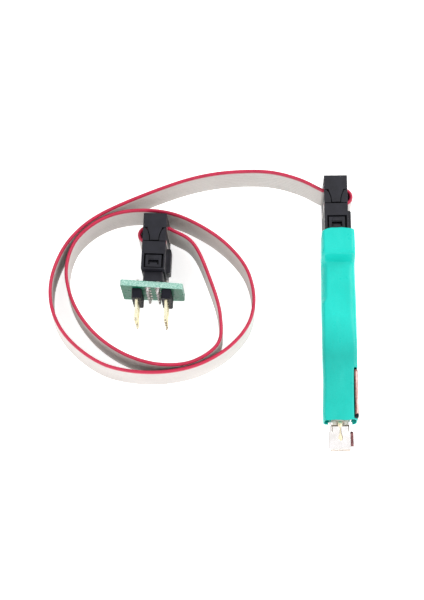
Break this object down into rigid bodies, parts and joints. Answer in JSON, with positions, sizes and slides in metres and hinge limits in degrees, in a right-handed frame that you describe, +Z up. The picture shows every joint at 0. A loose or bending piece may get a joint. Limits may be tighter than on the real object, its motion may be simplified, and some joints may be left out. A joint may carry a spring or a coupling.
{
  "type": "usb microcontroller programmer",
  "caption": "Sleeved USB stick that programs microcontrollers through a loose ribbon cable with crimped sockets and a small two-row pin adapter.",
  "frame": {"origin": "middle of the flat underside of the sleeve's head, which is the face that the stick rests on", "axes": "+Y along the stick from its USB plug towards the socket of its ribbon cable, +Z up from the surface that it lies on, +X to the right seen from above with the plug nearest the viewer"},
  "size_m": [0.0794, 0.0736, 0.0188],
  "materials": {
    "sleeve_teal": "shrunk polyolefin tube, soft gloss",
    "connector_black": "moulded black nylon, fine matte grain",
    "ribbon_grey": "ribbed grey vinyl with one red edge",
    "board_green": "green lacquered glass-fibre board",
    "pin_gold": "gold flash on brass",
    "plug_nickel": "nickel plated sheet",
    "plug_ivory": "ivory moulded insulator",
    "edge_copper": "bare reddish copper",
    "solder_tin": "cooled solder",
    "chip_black": "moulded epoxy package",
    "capacitor_tan": "tan ceramic body",
    "led_clear": "clear resin"
  },
  "bodies": {
    "programmer": {"heat_shrink_sleeve": "sleeve_teal", "programmer_header_base": "connector_black", "main_board": "board_green", "header_board": "board_green", "programmer_pin_1": "pin_gold", "programmer_pin_2": "pin_gold", "programmer_pin_3": "pin_gold", "programmer_pin_4": "pin_gold", "programmer_pin_5": "pin_gold", "programmer_pin_6": "pin_gold", "programmer_pin_7": "pin_gold", "programmer_pin_8": "pin_gold", "programmer_pin_9": "pin_gold", "programmer_pin_10": "pin_gold", "plug_contact_1": "pin_gold", "plug_contact_2": "pin_gold", "plug_contact_3": "pin_gold", "plug_contact_4": "pin_gold", "plug_contact_5": "pin_gold", "plug_spring": "pin_gold", "plug_shell": "plug_nickel", "plug_collar": "plug_nickel", "crystal": "plug_nickel", "plug_insulator": "plug_ivory", "board_edge_strip": "edge_copper", "plug_side_strip": "edge_copper", "joint_solder_left": "solder_tin", "joint_solder_right": "solder_tin", "microcontroller": "chip_black", "voltage_regulator": "chip_black", "data_resistor_1": "chip_black", "data_resistor_2": "chip_black", "tantalum_capacitor": "capacitor_tan", "decoupling_capacitor_1": "capacitor_tan", "decoupling_capacitor_2": "capacitor_tan", "status_led": "led_clear"},
    "cable": {"programmer_socket_body": "connector_black", "programmer_socket_cover": "connector_black", "programmer_strain_relief": "connector_black", "ribbon_fold_programmer": "ribbon_grey", "ribbon_cable": "ribbon_grey", "ribbon_fold_target": "ribbon_grey", "target_socket_body": "connector_black", "target_socket_cover": "connector_black", "target_strain_relief": "connector_black"},
    "adapter": {"adapter_board": "board_green", "adapter_header": "connector_black", "adapter_insulator_left": "connector_black", "adapter_insulator_right": "connector_black", "adapter_pin_left_1": "pin_gold", "adapter_pin_left_2": "pin_gold", "adapter_pin_left_3": "pin_gold", "adapter_pin_left_4": "pin_gold", "adapter_pin_right_1": "pin_gold", "adapter_pin_right_2": "pin_gold", "adapter_pin_right_3": "pin_gold", "adapter_pin_right_4": "pin_gold"}
  },
  "joints": [
    {"name": "programmer_socket_slide", "type": "slide", "parent": "programmer", "child": "cable", "axis": [0, 1, 0], "range_m": [0, 0.007]},
    {"name": "adapter_slide", "type": "slide", "parent": "cable", "child": "adapter", "axis": [-0.0558, -0.9984, 0], "range_m": [0, 0.0065]}
  ]
}
